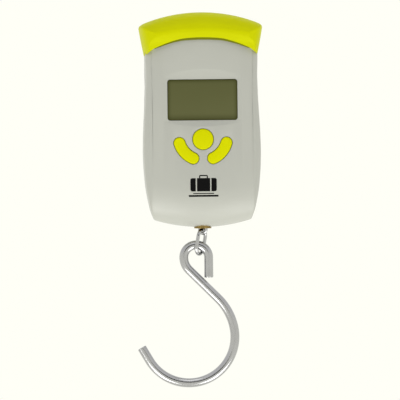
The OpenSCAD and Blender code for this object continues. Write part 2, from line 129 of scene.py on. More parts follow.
FAN = (0.0, -55.0)
ARC_R, ARC_HW = 12.25, 2.85
def arc2(hw, a0=-66.0, a1=-17.0, n=30, m=16, flip=False):
    out = []
    for i in range(n + 1):
        a = math.radians(a0 + (a1 - a0) * i / n)
        out.append((FAN[0] + (ARC_R + hw) * math.cos(a), FAN[1] + (ARC_R + hw) * math.sin(a)))
    c = math.radians(a1)
    cx, cz = FAN[0] + ARC_R * math.cos(c), FAN[1] + ARC_R * math.sin(c)
    for i in range(1, m):
        a = c + math.pi * i / m
        out.append((cx + hw * math.cos(a), cz + hw * math.sin(a)))
    for i in range(n + 1):
        a = math.radians(a1 + (a0 - a1) * i / n)
        out.append((FAN[0] + (ARC_R - hw) * math.cos(a), FAN[1] + (ARC_R - hw) * math.sin(a)))
    c = math.radians(a0)
    cx, cz = FAN[0] + ARC_R * math.cos(c), FAN[1] + ARC_R * math.sin(c)
    for i in range(1, m):
        a = c + math.pi + math.pi * i / m
        out.append((cx + hw * math.cos(a), cz + hw * math.sin(a)))
    if flip:
        out = [(-x, z) for x, z in reversed(out)]
    return out

def at(loop, y):
    return [(x, y(x, z) if callable(y) else y, z) for x, z in loop]

def prism(loop, y0, y1, name="tool"):
    b = Builder()
    b.loft([at(loop, y1), at(loop, y0)])
    return b.obj(name)

def ybar(x, z, y0, y1, r, n=40):
    return prism(circle2(x, z, r, n), y0, y1)

def box(lo, hi):
    b = Builder()
    (x0, y0, z0), (x1, y1, z1) = lo, hi
    b.loft([[(x0, y1, z0), (x1, y1, z0), (x1, y1, z1), (x0, y1, z1)], [(x0, y0, z0), (x1, y0, z0), (x1, y0, z1), (x0, y0, z1)]])
    return b.obj("tool")

# ---------------------------------------------------------------- casing shape
BOTTOM, FRONT, BACK, WALL, ROLL = 100.5, 13.5, 12.0, 2.0, 19.0
HW_T = np.array([(-100, 24.2), (-96.75, 24.4), (-92, 25.9), (-86, 27.25), (-80, 28.25), (-71, 29), (-63, 29.25), (-53, 29),
                 (-44, 28.5), (-35, 28), (-24.5, 27.75), (-17, 28), (0, 28)], float)
zz = np.linspace(-100, 0, 401)
hh = np.interp(zz, HW_T[:, 0], HW_T[:, 1])
k = np.exp(-np.linspace(-2.5, 2.5, 33) ** 2)
k /= k.sum()
hs = np.convolve(np.pad(hh, 16, mode="reflect", reflect_type="odd"), k, "valid")
def hw(z):
    return float(np.interp(z, zz, hs))
CX, CZ = 24.4, -96.75
SAG = BOTTOM + CZ
BR = (CX * CX + SAG * SAG) / (2 * SAG)
def zb(x):
    return -BOTTOM + BR - math.sqrt(BR * BR - x * x)
def fd(x):
    return FRONT - x * x / 240
def roll(w, h):
    return h * (1 - math.sqrt(max(0.0, 1 - w * w)))
def side(w):
    q = max(0.0, (w - 0.6) / 0.4)
    return 3.2 * (0.8 * q ** 2.1 + 0.2 * (1 - math.sqrt(max(0.0, 1 - q * q))))
NB, NS = 72, 64
TOP = -2.0
def ring(yf, s, b, top=TOP, g=0.0):
    """Closed ring of the casing: side inset s, lower inset b, depth yf(x)."""
    xc = hw(CZ + b) - s + g
    z0 = CZ + b - g
    out = []
    rc = 1.0                                        # rounding of the lower corners
    for i in range(NB + 1):
        u = -1 + 2 * i / NB
        out.append([u * xc, 0, zb(u * CX) + b - g])
    for j in range(1, NS + 1):
        z = z0 + (top - z0) * j / (NS + 1)
        out.append([hw(z) - s + g, 0, z])
    for i in range(NB + 1):
        u = 1 - 2 * i / NB
        out.append([u * xc, 0, top])
    for j in range(NS, 0, -1):
        z = z0 + (top - z0) * j / (NS + 1)
        out.append([-hw(z) + s - g, 0, z])
    # soften the two lower corners
    n = len(out)
    for c in (0, NB):
        idx = [(c + d) % n for d in (-2, -1, 0, 1, 2)]
        p = [np.array(out[i]) for i in idx]
        out[idx[2]] = list(0.25 * p[1] + 0.5 * p[2] + 0.25 * p[3])
    for p in out:
        p[1] = yf(p[0])
    return out

def face_cap(b, ids, last):
    """Closes a ring whose lower and upper edges share their x values."""
    n = len(ids)
    f = []
    for i in range(NB):
        f.append((ids[i], ids[i + 1], ids[n - NS - 2 - i], ids[n - NS - 1 - i]))
    for j in range(1, NS + 1):
        f.append((ids[NB], ids[NB + j], ids[NB + j + 1]))
    for j in range(NS):
        f.append((ids[0], ids[n - NS - 1 + j], ids[n - NS + j]))
    b.f += f if last else [tuple(reversed(t)) for t in f]

def loft_case(rings, name):
    b = Builder()
    ids = [b.ring(r) for r in rings]
    for p, q in zip(ids, ids[1:]):
        b.band(p, q)
    face_cap(b, ids[0], False)
    face_cap(b, ids[-1], True)
    return b.obj(name)

def front_profile():
    w = [0.0, 0.02, 0.05] + list(np.linspace(0.1, 0.6, 11)) + list(np.linspace(0.63, 0.97, 22)) + [0.98, 0.99, 0.995, 0.999, 1.0]
    return w

def front_outer():
    rings = [ring(lambda x: -0.0, 0.28, 0.28)]
    for w in front_profile()[1:]:
        e = 0.28 * max(0.0, 1 - w / 0.035) if w < 0.035 else 0.0
        rings.append(ring(lambda x: -w * fd(x), side(w) + e, roll(w, ROLL) + e))
    return loft_case(rings, "front_shell_v")

def front_inner():
    rings = [ring(lambda x: 1.0, WALL, 5, top=TOP - 1.5)]
    for w in np.linspace(0, 1, 14):
        rings.append(ring(lambda x: -w * (fd(x) - WALL), side(w) + WALL, 5 + roll(w, ROLL - 5), top=TOP - 1.5))
    return loft_case(rings, "tool")

WIN_Z, WIN_W, WIN_H = -37.1, 35.0, 20.5
KEY_Z, KEY_R = -56.75, 5.15
BOSSES = [(21.3, -17), (-21.3, -17), (20.7, -83), (-20.7, -83)]
POSTS = [(17.6, -21.4), (-17.6, -21.4), (17.6, -71.5), (-17.6, -71.5)]

# recess around the window: outer edge on the face, inner edge on the flat floor around the window
def recess_outer(grow=0.0, n=40):
    half = 19.7 + grow
    def top(x):
        R = (19.6 ** 2 + 3.3 ** 2) / (2 * 3.3)
        return -21.75 + grow - R + math.sqrt(R * R - x * x)
    def low(x):
        R = (19.6 ** 2 + 2.2 ** 2) / (2 * 2.2)
        return -50.2 - grow + R - math.sqrt(R * R - x * x)
    pts = []
    c = 1.6                                        # corner rounding
    xs = np.linspace(-(half - c), half - c, n + 1)
    for x in xs:
        pts.append((x, low(x)))
    zl, zt = low(half - c), top(half - c)
    for i in range(1, 9):
        a = math.radians(-90 + 90 * i / 8)
        pts.append((half - c + c * math.cos(a), zl + c + c * math.sin(a)))
    for i in range(1, 30):
        pts.append((half, zl + c + (zt - c - zl - c) * i / 30))
    for i in range(0, 8):
        a = math.radians(90 * i / 8)
        pts.append((half - c + c * math.cos(a), zt - c + c * math.sin(a)))
    for x in xs[::-1]:
        pts.append((x, top(x)))
    for i in range(1, 9):
        a = math.radians(90 + 90 * i / 8)
        pts.append((-half + c + c * math.cos(a), zt - c + c * math.sin(a)))
    for i in range(1, 30):
        pts.append((-half, zt - c + (zl + c - zt + c) * i / 30))
    for i in range(0, 8):
        a = math.radians(180 + 90 * i / 8)
        pts.append((-half + c + c * math.cos(a), zl + c + c * math.sin(a)))
    return pts

def project(loop, w, h, r, cz):
    """Point of a rounded rectangle that belongs to each point of loop, by side."""
    out = []
    for x, z in loop:
        px = max(-w / 2, min(w / 2, x * (w / 2) / 19.7))
        pz = max(cz - h / 2, min(cz + h / 2, z))
        if abs(x) < 18.1:
            px = x * (w / 2) / 18.1 if abs(x) < 18.1 else px
            px = max(-w / 2, min(w / 2, px))
            pz = cz + h / 2 if z > cz else cz - h / 2
        else:
            px = math.copysign(w / 2, x)
            t = (z - (-35.6)) / 12.2
            pz = max(cz - h / 2, min(cz + h / 2, z))
        # round the corner
        dx, dz = abs(px) - (w / 2 - r), abs(pz - cz) - (h / 2 - r)
        if dx > 0 and dz > 0:
            l = math.hypot(dx, dz)
            if l > r:
                px = math.copysign(w / 2 - r + dx * r / l, px)
                pz = cz + math.copysign(h / 2 - r + dz * r / l, pz - cz)
        out.append((px, pz))
    return out

def recess_tool():
    o = recess_outer()
    i2 = project(o, WIN_W + 0.7, WIN_H + 0.7, 1.7, WIN_Z)
    face = [(x, -fd(x), z) for x, z in o]
    floor = [(x, -12.0, z) for x, z in i2]
    b = Builder()
    out1 = []
    for f, g in zip(face, floor):
        f, g = np.array(f), np.array(g)
        d = f - g
        d = d * (1 + 1.2 / max(0.4, abs(d[1]))) if abs(d[1]) > 0.05 else d + np.array((0, -1.2, 0))
        out1.append(tuple(g + d))
    far = [(x, -16.0, z) for x, y, z in out1]
    # smoothly rounded entry: the tool is a little wider right at the face
    ease = []
    for f, g in zip(face, floor):
        f, g = np.array(f), np.array(g)
        ease.append(tuple(g + 0.82 * (f - g)))
    outer = []
    for f, g in zip(face, floor):
        f, g = np.array(f), np.array(g)
        h = (f - g) * np.array((1, 0, 1))
        h = h / max(1e-6, np.linalg.norm(h))
        outer.append((f[0] + 0.5 * h[0], f[1] - 0.04, f[2] + 0.5 * h[2]))
    b.loft([floor, ease, [((e[0] + f[0] + o_[0]) / 3, (e[1] + f[1] + o_[1]) / 3, (e[2] + f[2] + o_[2]) / 3) for e, f, o_ in zip(ease, face, outer)], outer, [(x, -16.0, z) for x, y, z in outer]])
    return b.obj("tool")

def flared(loop_fn, y_in, e=0.22, deep=-8.0):
    """Opening through the face with a small rounded rim; loop_fn(g) is the outline grown by g."""
    b = Builder()
    rings = [at(loop_fn(0.0), deep)]
    for a in (0, 22, 45, 67, 90):
        r = math.radians(a)
        g = e * (1 - math.cos(r))
        d = e * (1 - math.sin(r))
        rings.append(at(loop_fn(g), lambda x, z, d=d: -fd(x) + d - 0.004))
    rings.append(at(loop_fn(e), -17.0))
    b.loft(rings)
    return b.obj("tool")

def build_front():
    s = front_outer()
    cut(s, front_inner())
    cut(s, recess_tool())
    cut(s, prism(rrect2(0, WIN_Z, WIN_W, WIN_H, 1.4, 10), -20, -8))
    cut(s, flared(lambda g: circle2(0, KEY_Z, KEY_R + 0.25 + g, 96), -12))
    cut(s, flared(lambda g: arc2(ARC_HW + 0.25 + g), -12))
    cut(s, flared(lambda g: arc2(ARC_HW + 0.25 + g, flip=True), -12))
    # ledge behind the window
    fr = prism(rrect2(0, WIN_Z, WIN_W + 3.6, WIN_H + 3.6, 2), -11.9, -9.6)
    cut(fr, prism(rrect2(0, WIN_Z, WIN_W, WIN_H, 1.4, 10), -12.5, -10.7))
    cut(fr, prism(rrect2(0, WIN_Z, WIN_W - 2.4, WIN_H - 2.4, 1), -13, -9))
    cut(s, fr, "UNION")
    for x, z in BOSSES:
        t = ybar(x, z, -10, 0, 2.8)
        cut(t, ybar(x, z, -9, 1, 1))
        cut(s, t, "UNION")
    for x, z in POSTS:
        t = ybar(x, z, -11, -5, 1.9)
        cut(t, ybar(x, z, -9, -4, 0.8))
        cut(s, t, "UNION")
    b = Builder()
    b.loft([[(3.95 * math.cos(T * i / 64), 3.95 * math.sin(T * i / 64), z) for i in range(64)] for z in (-110, -90)])
    cut(s, b.obj("tool"))
    b = Builder()
    b.loft([[(4.5 * math.cos(T * i / 64), 4.5 * math.sin(T * i / 64), z) for i in range(64)] for z in (-110, -BOTTOM + 0.05)])
    cut(s, b.obj("tool"))
    clean(s, 32)
    return s

# ---------------------------------------------------------------- rear shell and door
def back_s(y):
    q = max(0.0, (y - 10.0) / 2.0)
    return 1.9 * (1 - math.sqrt(max(0.0, 1 - q * q)))
def back_b(y):
    q = y / BACK
    return 5.2 * (1 - math.sqrt(max(0.0, 1 - q * q * 0.995)))
STEP = -14.75
def back_outer():
    ys = [12.0, 11.97, 11.88, 11.7, 11.4, 11.0, 10.5, 10.0, 9.9]
    rings = [ring(lambda x, y=y: y, back_s(y), back_b(y), top=STEP) for y in ys]
    ys2 = [9.9, 8.5, 7, 5.5, 4, 2.5, 1.2, 0.45]
    rings += [ring(lambda x, y=y: y, 0.0, back_b(y), top=TOP) for y in ys2]
    rings += [ring(lambda x: 0.25, 0.06, back_b(0.25) + 0.06), ring(lambda x: 0.1, 0.18, 0.18), ring(lambda x: 0.02, 0.3, 0.3)]
    return loft_case(rings, "rear_shell_v")

def back_inner(y1, top, low):
    return loft_case([ring(lambda x: y1, WALL, 4.5, top=top), ring(lambda x: -1.0, WALL, 4.5, top=top)], "tool")

def build_back():
    s = back_outer()
    cut(s, back_inner(8.0, -3.5, 0))
    cut(s, back_inner(10.2, -16.8, 0))
    z0, z1 = -45.2, -20.2
    for t in (box((-25.3, -2.2, z0 - 1.3), (25.3, -0.9, z1 + 1.3)), box((-25.3, -2.2, z0 - 1.3), (25.3, 10.4, z0)), box((-25.3, -2.2, z1), (25.3, 10.4, z1 + 1.3))):
        cut(s, t, "UNION")
    for x, z in BOSSES:
        cut(s, ybar(x, z, 0.02, 11, 2.8), "UNION")
    for x in (-7.5, 7.5):
        cut(s, ybar(x, -55, 3, 11, 2.6), "UNION")
    for x in (-14, 14):
        cut(s, ybar(x, -9, 2, 10 - 0.15, 2.6), "UNION")
    # door opening with a fine rounded rim
    cut(s, prism(rrect2(0, -32.7, 50.0, 26.5, 0.8), 8, 14))
    b = Builder()
    b.loft([at(rrect2(0, -32.7, 50.9, 27.4, 1.2), 13.0), at(rrect2(0, -32.7, 50.9, 27.4, 1.2), 12.0), at(rrect2(0, -32.7, 50.3, 26.8, 0.95), 11.85), at(rrect2(0, -32.7, 49.9, 26.4, 0.8), 11.5), at(rrect2(0, -32.7, 49.9, 26.4, 0.8), 10.8)])
    cut(s, b.obj("tool"))
    for x in (-16, 16):
        cut(s, box((x - 3.2, 8, -20.6), (x + 3.2, 10.4, -17.7)))
    b = Builder()
    b.loft([[(3.95 * math.cos(T * i / 64), 3.95 * math.sin(T * i / 64), z) for i in range(64)] for z in (-110, -90)])
    cut(s, b.obj("tool"))
    b = Builder()
    b.loft([[(4.5 * math.cos(T * i / 64), 4.5 * math.sin(T * i / 64), z) for i in range(64)] for z in (-110, -BOTTOM + 0.05)])
    cut(s, b.obj("tool"))
    for x, z in BOSSES:
        cut(s, ybar(x, z, -1, 20, 1.35, 32))
        b = Builder()
        b.loft([at(circle2(x, z, 2.25, 48), 13), at(circle2(x, z, 2.25, 48), 12.0), at(circle2(x, z, 2.1, 48), 11.85), at(circle2(x, z, 2.05, 48), 11.7), at(circle2(x, z, 2.05, 48), 9.3)])
        cut(s, b.obj("tool"))
    for x in (-7.5, 7.5):
        cut(s, ybar(x, -55, 2, 9, 1.2, 32))
    for x in (-14, 14):
        cut(s, ybar(x, -9, 4, 11, 1.05, 32))
    clean(s, 32)
    return s

def build_door():
    r = [at(rrect2(0, -32.7, 49.7 - 2 * g, 26.2 - 2 * g, 0.8), y) for g, y in ((0.5, 12.0), (0.22, 11.95), (0.06, 11.8), (0.0, 11.55), (0.0, 10.2))]
    b = Builder()
    b.loft(r)
    d = b.obj("battery_door_v")
    for x in (-16, 16):
        cut(d, box((x - 3, 8.6, -22.1), (x + 3, 10.3, -18.1)), "UNION")
    # thumb groove
    g = Builder()
    g.loft([[(x, 18.6 + r * math.cos(a), -40.8 + r * math.sin(a)) for a in np.linspace(0, T, 97)[:-1]] for x, r in ((-7.6, 7.1), (-7.2, 7.4), (7.2, 7.4), (7.6, 7.1))])
    cut(d, g.obj("tool"))
    # grip slots cut in near the groove's upper edge
    for i in range(3):
        z = -34.6 + i * 1.5
        cut(d, prism(rrect2(0, z, 13.0, 0.6, 0.29, 6), 11.7, 13.0))
    clean(d, 32)
    return d

# ---------------------------------------------------------------- grip cap
CAP_HW, CAP_TOP = 30.75, 6.85
CCX = CAP_HW - 1.1
CSAG = CAP_TOP - 1
CR = (CCX ** 2 + CSAG ** 2) / (2 * CSAG)
def ct(x):
    return CAP_TOP - CR + math.sqrt(CR * CR - x * x)
C_Y = np.array([-16, -15.3, -14.4, -12.6, -10, -6, 0, 9.6, 11.2, 12.0])
C_S = np.array([6.5, 4.2, 2.9, 1.7, 0.9, 0.3, 0, 0, 0.45, 1.3])
C_T = np.array([8.2, 6, 4.4, 2.6, 1.4, 0.45, 0, 0, 0.45, 1.3])
C_B = np.array([11.5, 9.2, 7.1, 0, 0, 0, 0, 0, 0, 0])

def catmull(ts, vals, t):
    i = int(np.clip(np.searchsorted(ts, t) - 1, 0, len(ts) - 2))
    p1, p2 = vals[i], vals[i + 1]
    h = ts[i + 1] - ts[i]
    def slope(j):
        if j <= 0 or j >= len(ts) - 1:
            a, c = (0, 1) if j <= 0 else (len(ts) - 2, len(ts) - 1)
            return (vals[c] - vals[a]) / (ts[c] - ts[a])
        d0 = (vals[j] - vals[j - 1]) / (ts[j] - ts[j - 1])
        d1 = (vals[j + 1] - vals[j]) / (ts[j + 1] - ts[j])
        return 0.0 if d0 * d1 <= 0 else 2 * d0 * d1 / (d0 + d1)
    m1, m2 = slope(i) * h, slope(i + 1) * h
    s = (t - ts[i]) / h
    return (2 * s ** 3 - 3 * s ** 2 + 1) * p1 + (s ** 3 - 2 * s ** 2 + s) * m1 + (-2 * s ** 3 + 3 * s ** 2) * p2 + (s ** 3 - s ** 2) * m2

def chw(z):
    t = (z + 14.7) / 13.95
    base = np.interp(z, [-14.7, -0.75, 1.2], [28.15, CAP_HW, CAP_HW - 0.55])
    return float(base + 0.12 * math.sin(math.pi * min(1, max(0, (z + 14.7) / 15.7))))

def cap_ring(y, s, t, b):
    zt = 1 - t * 0.55
    bb = -14.7 + b * 0.75
    out = []
    for i in range(NB + 1):
        u = -1 + 2 * i / NB
        out.append([u * (chw(bb) - s), y, -14.7 + b * (1 - 0.25 * u * u)])
    for j in range(1, NS + 1):
        z = bb + (zt - bb) * j / (NS + 1)
        out.append([chw(z) - s, y, z])
    for i in range(NB + 1):
        u = 1 - 2 * i / NB
        out.append([u * (CCX - s), y, zt + (ct(u * CCX) - 1) * (CAP_TOP - t - zt) / (CAP_TOP - 1)])
    for j in range(NS, 0, -1):
        z = bb + (zt - bb) * j / (NS + 1)
        out.append([-chw(z) + s, y, z])
    # round the upper corners
    o = [np.array(p) for p in out]
    n = len(o)
    for c in (NB + NS + 1, n - NS - 1):
        for rep in range(14):
            q = [p.copy() for p in o]
            for d in range(-7, 8):
                i = (c + d) % n
                q[i] = 0.5 * o[i] + 0.25 * (o[(i - 1) % n] + o[(i + 1) % n])
            o = q
    return [list(p) for p in o]

def build_cap():
    ts = -C_Y[::-1] * 1.0
    ys = [12.0, 11.95, 11.8, 11.5, 11.2, 10.7, 10.2, 9.6, 5, 0, -2, -4] + list(np.linspace(-5, -12.6, 17)) + list(np.linspace(-12.9, -15.9, 24)) + [-15.97, -16.0]
    rings = []
    for y in ys:
        yy = C_Y[::-1][::-1]
        s = catmull(C_Y, C_S, y)
        t = catmull(C_Y, C_T, y)
        bq = catmull(C_Y, C_B, y) if y < -12.6 else 0.0
        rings.append(cap_ring(y, s, t, bq))
    c = loft_case(rings, "grip_cap_v")
    seal = loft_case(rings, "cap_seal")
    # arched lip on the face; a dark olive strip along its lowest edge is painted shade, standing in for the shade
    # under the lip
    xs = np.linspace(-24.8, 24.8, 83)
    def arch(x):
        ax = abs(x)
        z = -7.65 - (ax - 10.7) * 4.35 / 14.1 if ax > 10.7 else -7.2 - 0.45 * (ax / 10.7) ** 2
        return z - 0.10 * math.exp(-((ax - 10.7) / 1.6) ** 2) + 0.25 * math.sin(math.pi * min(1.0, max(0.0, (ax - 10.7) / 14.1)))
    def rise(x):
        return 1.15 * max(0.0, 1 - (abs(x) / 24.8) ** 2) ** 0.6
    low = [(x, arch(x)) for x in xs]
    high = [(x, arch(x) + rise(x)) for x in xs]
    def lip_tool(line):
        loop = [(-28.3, -25.0), (28.3, -25.0), (28.3, -14.8)] + line[::-1] + [(-28.3, -14.8)]
        return prism(loop, -20.0, -3.0)
    cut(c, lip_tool(high))
    cut(seal, lip_tool(low))
    band = [(x, z - 0.6) for x, z in low[2:-2]] + [(x, z - 0.02) for x, z in high[2:-2]][::-1]
    cut(seal, prism(band, -20.0, -9.0), "INTERSECT")
    # socket for the casing
    front = [ring(lambda x: 1.0, -0.1, -0.1, top=TOP + 0.1)] + [ring(lambda x, w=w: -w * (fd(x) + 0.1), side(w) - 0.1, roll(w, ROLL), top=TOP + 0.1) for w in np.linspace(0.05, 1, 30)]
    cut(c, loft_case(front, "tool"))
    cut(seal, loft_case(front, "tool"))
    for v in seal.data.vertices:
        v.co.y += 0.16 * MM
    clean(seal, 40)
    cut(c, loft_case([ring(lambda x: 10.0, -0.1, 0, top=TOP + 0.1), ring(lambda x: 0.5, -0.1, 0, top=TOP + 0.1)], "tool"))
    cut(c, box((-40, -1, -30), (40, 29, -14.6)))
    cut(c, box((-24.5, -10.5, -3), (24.5, 9.5, 1.6)))
    for x in (-14, 14):
        cut(c, ybar(x, -9, 9, 20, 1.35, 32))
        b = Builder()
        b.loft([at(circle2(x, -9, 2.8, 48), 13), at(circle2(x, -9, 2.8, 48), 12.0), at(circle2(x, -9, 2.5, 48), 11.8), at(circle2(x, -9, 2.4, 48), 11.6), at(circle2(x, -9, 2.4, 48), 11.1)])
        cut(c, b.obj("tool"))
    clean(c, 40)
    return c, seal

# ---------------------------------------------------------------- keys and window
def key_mesh(name, outline, crown, base=0.9, stem=None):
    """outline(g): outline shrunk by g; crown(x, z, t): y of the top, t 0 at the rim to 1 in the middle."""
    e = 0.55
    rings = [at(outline(-base), -9.3), at(outline(-base), -10.3), at(outline(0), -10.3), at(outline(0), -11.5)]
    for a in np.linspace(0, 90, 9):
        r = math.radians(a)
        rings.append(at(outline(e * (1 - math.cos(r))), lambda x, z, r=r: crown(x, z, 0) + e * (1 - math.sin(r))))
    return rings, e

def build_keys():
    out = {}
    b = Builder()
    o = lambda g: circle2(0, KEY_Z, KEY_R - g, 96)
    top = lambda x, z, t=0: -13.72 - 0.36 * (1 - min(1.0, ((x * x + (z - KEY_Z) ** 2) / (KEY_R * KEY_R))))
    rings, e = key_mesh("key_center_v", o, top, base=0.9)
    for g in (0.9, 1.5, 2.2, 3.0, 3.8, 4.5, 5.0):
        rings.append(at(o(g), lambda x, z: top(x, z)))
    b.loft([r[::-1] for r in rings][::1])
    k = b.obj("key_center_v", 40)
    cut(k, ybar(0, KEY_Z, -9.4, -8.7, 2.0), "UNION")
    clean(k, 40)
    out["key_center"] = k
    for flip, nm in ((True, "key_left"), (False, "key_right")):
        b = Builder()
        o = lambda g: arc2(max(0.02, ARC_HW - g), flip=flip)
        def top(x, z, t=0):
            d = abs(math.hypot(x - FAN[0], z - FAN[1]) - ARC_R)
            return -(FRONT - x * x / 240) + 0.0 - 0.30 - 0.16 * (1 - min(1.0, (d / ARC_HW) ** 2)) + 0.22
        rings = [at(o(0), -9.8), at(o(0), -11.5)]
        e = 0.55
        for a in np.linspace(0, 90, 9):
            r = math.radians(a)
            rings.append(at(o(e * (1 - math.cos(r))), lambda x, z, r=r: top(x, z) + e * (1 - math.sin(r))))
        for g in (0.85, 1.2, 1.6, 2.0, 2.4, 2.75, 3.0):
            rings.append(at(o(g), lambda x, z: top(x, z)))
        b.loft(rings)
        k = b.obj(nm + "_v", 40)
        f = prism(arc2(ARC_HW + 0.7, flip=flip), -10.2, -9.3)
        cut(f, ybar(0, KEY_Z, -11, -9, KEY_R + 1.2, 64))
        cut(f, box((-10.0, -11, -80) if not flip else (-0.4, -11, -80), (0.4, -9, -50) if not flip else (10.0, -9, -50)))
        cut(k, f, "UNION")
        sx = -1 if flip else 1
        cut(k, ybar(sx * ARC_R * math.cos(math.radians(42)), FAN[1] - ARC_R * math.sin(math.radians(42)), -9.5, -8.7, 2.0), "UNION")
        clean(k, 40)
        out[nm] = k
    return out

def face_y(x, z):
    h = min(ROLL, max(0.0, z - zb(x)))
    return -math.sqrt(max(0.0, 1 - (1 - h / ROLL) ** 2)) * fd(x)

def build_mark():
    """Printed pictogram of a suitcase over a bar."""
    b = Builder()
    out, inn = (lambda x, z: face_y(x, z) - 0.025), (lambda x, z: face_y(x, z) + 0.12)
    def patch(x0, x1, zfun0, zfun1, n=10, m=5):
        # curved plate in rows of quads, closed all round
        top = [[(x0 + (x1 - x0) * i / n, zfun0(x0 + (x1 - x0) * i / n) + (zfun1(x0 + (x1 - x0) * i / n) - zfun0(x0 + (x1 - x0) * i / n)) * j / m) for i in range(n + 1)] for j in range(m + 1)]
        f = [b.ring([(x, out(x, z), z) for x, z in row]) for row in top]
        g = [b.ring([(x, inn(x, z), z) for x, z in row]) for row in top]
        for j in range(m):
            for i in range(n):
                b.f.append((f[j][i], f[j][i + 1], f[j + 1][i + 1], f[j + 1][i]))
                b.f.append((g[j][i], g[j + 1][i], g[j + 1][i + 1], g[j][i + 1]))
        for i in range(n):
            b.f.append((f[0][i], g[0][i], g[0][i + 1], f[0][i + 1]))
            b.f.append((f[m][i], f[m][i + 1], g[m][i + 1], g[m][i]))
        for j in range(m):
            b.f.append((f[j][0], f[j + 1][0], g[j + 1][0], g[j][0]))
            b.f.append((f[j][n], g[j][n], g[j + 1][n], f[j + 1][n]))
    zc, hh_, r = -79.4, 3.3, 1.0
    def corner(x, edge, sgn):
        d = edge - abs(x)
        return zc + sgn * (hh_ - (r - math.sqrt(max(0.0, r * r - (r - d) ** 2)) if d < r else 0.0))
    lo_ = lambda x: corner(x, 6.6, -1)
    hi_ = lambda x: corner(x, 6.6, 1)
    patch(-6.58, -3.9, lo_, hi_, 14)
    patch(-3.3, 3.3, lo_, hi_, 6)
    patch(3.9, 6.58, lo_, hi_, 14)
    # handle
    def ho(x): return zc + hh_ + 1.55 - (0.6 - math.sqrt(max(0.0, 0.36 - max(0.0, abs(x) - 1.6) ** 2)))
    patch(-2.2, 2.2, lambda x: zc + hh_ + 0.95, ho, 24)
    patch(-2.2, -1.6, lambda x: zc + hh_ - 0.02, lambda x: zc + hh_ + 0.95, 4)
    patch(1.6, 2.2, lambda x: zc + hh_ - 0.02, lambda x: zc + hh_ + 0.95, 4)
    # bar
    patch(-7.4, 7.4, lambda x: -85.4, lambda x: -84.5, 20, 3)
    patch(-5.2, 5.2, lambda x: -84.0, lambda x: -83.55, 16, 2)
    return b.obj("panel_mark", 40)

def build_lens():
    b = Builder()
    rr = lambda g: rrect2(0, WIN_Z, 34.9 - 2 * g, 20.4 - 2 * g, 1.35 - g * 0.4, 10)
    b.loft([at(rr(0.15), -10.75), at(rr(0), -10.9), at(rr(0), -11.72), at(rr(0.06), -11.84), at(rr(0.2), -11.9)])
    return b.obj("window_lens_v", 50)

def build_lcd():
    b = Builder()
    b.loft([at(rrect2(0, WIN_Z, 36, 22, 0.3), -7.4), at(rrect2(0, WIN_Z, 36, 22, 0.3), -8.3), at(rrect2(0, WIN_Z, 35.6, 21.6, 0.3), -8.35), at(rrect2(0, WIN_Z, 35.6, 21.6, 0.3), -9.32), at(rrect2(0, WIN_Z, 35.4, 21.4, 0.3), -9.4)])
    return b.obj("lcd_panel_v", 30)

# ---------------------------------------------------------------- wire parts
def tube(path, tang, r, normal, n=40, closed=False, ends=0.3, name="tube"):
    """Round wire along path; normal is the fixed direction across the wire's plane."""
    b = Builder()
    nv = np.array(normal, float)
    nv /= np.linalg.norm(nv)
    rings = []
    def circ(p, t, rr):
        t = np.array(t) / np.linalg.norm(t)
        u = np.cross(nv, t)
        return [tuple(np.array(p) + rr * (math.cos(T * k / n) * u + math.sin(T * k / n) * nv)) for k in range(n)]
    P = [np.array(p) for p in path]
    for p, t in zip(P, tang):
        rings.append(circ(p, t, r))
    if closed:
        ids = [b.ring(q) for q in rings]
        for i in range(len(ids)):
            b.band(ids[i], ids[(i + 1) % len(ids)])
    else:
        t0, t1 = np.array(tang[0]), np.array(tang[-1])
        t0, t1 = t0 / np.linalg.norm(t0), t1 / np.linalg.norm(t1)
        # rounded edge of a cut end: the angle runs from the end's face to the full radius
        start = [circ(P[0] + t0 * d, t0, q) for d, q in reversed([(ends - ends * math.cos(a), r - ends + ends * math.sin(a)) for a in np.linspace(math.pi / 2, 0, 6)])]
        stop = [circ(P[-1] - t1 * d, t1, q) for d, q in [(ends - ends * math.cos(a), r - ends + ends * math.sin(a)) for a in np.linspace(math.pi / 2, 0, 6)]]
        b.loft(start + rings[1:-1] + stop)
    return b.obj(name, 50)

def arc_pts(c, R, a0, a1, step=0.35):
    n = max(6, int(abs(math.radians(a1 - a0)) * R / step))
    sg = 1 if a1 > a0 else -1
    p, t = [], []
    for i in range(n + 1):
        a = math.radians(a0 + (a1 - a0) * i / n)
        p.append((c[0] + R * math.cos(a), 0.0, c[1] + R * math.sin(a)))
        t.append((-sg * math.sin(a), 0.0, sg * math.cos(a)))
    return p, t

